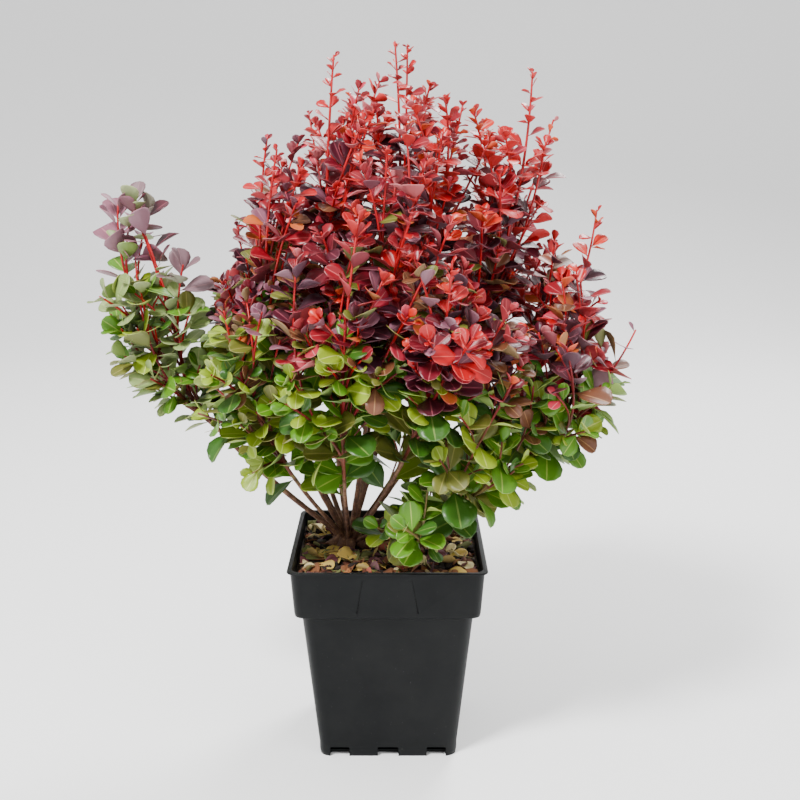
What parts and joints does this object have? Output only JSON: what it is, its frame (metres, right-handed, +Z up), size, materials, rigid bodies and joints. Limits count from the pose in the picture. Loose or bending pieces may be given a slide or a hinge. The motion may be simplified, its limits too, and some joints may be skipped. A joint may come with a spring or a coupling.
{
  "type": "potted japanese barberry",
  "caption": "Young upright japanese barberry with scarlet shoots over burgundy and green leaves, in a square black nursery pot.",
  "frame": {"origin": "middle of the flat underside of the pot, on the surface that it stands on", "axes": "+Z up out of the pot, -Y towards the side that the picture was taken from, +X to the right in it"},
  "size_m": [0.4122, 0.3356, 0.5536],
  "materials": {
    "black_plastic": "satin",
    "potting_mix": "matte",
    "bark": "matte",
    "leaves_green": "satin",
    "leaves_red": "satin"
  },
  "bodies": {
    "root": {"pot": "black_plastic", "potting_mix": "potting_mix", "root_crown": "bark", "cane_left_wing": "bark", "cane_left_shoulder": "bark", "cane_left_back": "bark", "cane_left_rocket": "bark", "cane_upper_left": "bark", "cane_upper_back": "bark", "cane_top": "bark", "cane_front_centre": "bark", "cane_front_left": "bark", "cane_front_right": "bark", "cane_centre_right": "bark", "cane_right_rocket": "bark", "cane_right_outer": "bark", "cane_right_low": "bark", "cane_low_right": "bark", "cane_front_droop": "bark", "cane_back_right": "bark", "cane_back": "bark", "cane_back_left": "bark", "foliage_left_wing": "leaves_green", "foliage_left_shoulder": "leaves_green", "foliage_left_back": "leaves_red", "foliage_left_rocket": "leaves_red", "foliage_upper_left": "leaves_red", "foliage_upper_back": "leaves_red", "foliage_top": "leaves_red", "foliage_front_centre": "leaves_red", "foliage_front_left": "leaves_green", "foliage_front_right": "leaves_red", "foliage_centre_right": "leaves_red", "foliage_right_rocket": "leaves_red", "foliage_right_outer": "leaves_red", "foliage_right_low": "leaves_green", "foliage_low_right": "leaves_green", "foliage_front_droop": "leaves_green", "foliage_back_right": "leaves_red", "foliage_back": "leaves_red", "foliage_back_left": "leaves_green"}
  },
  "joints": []
}
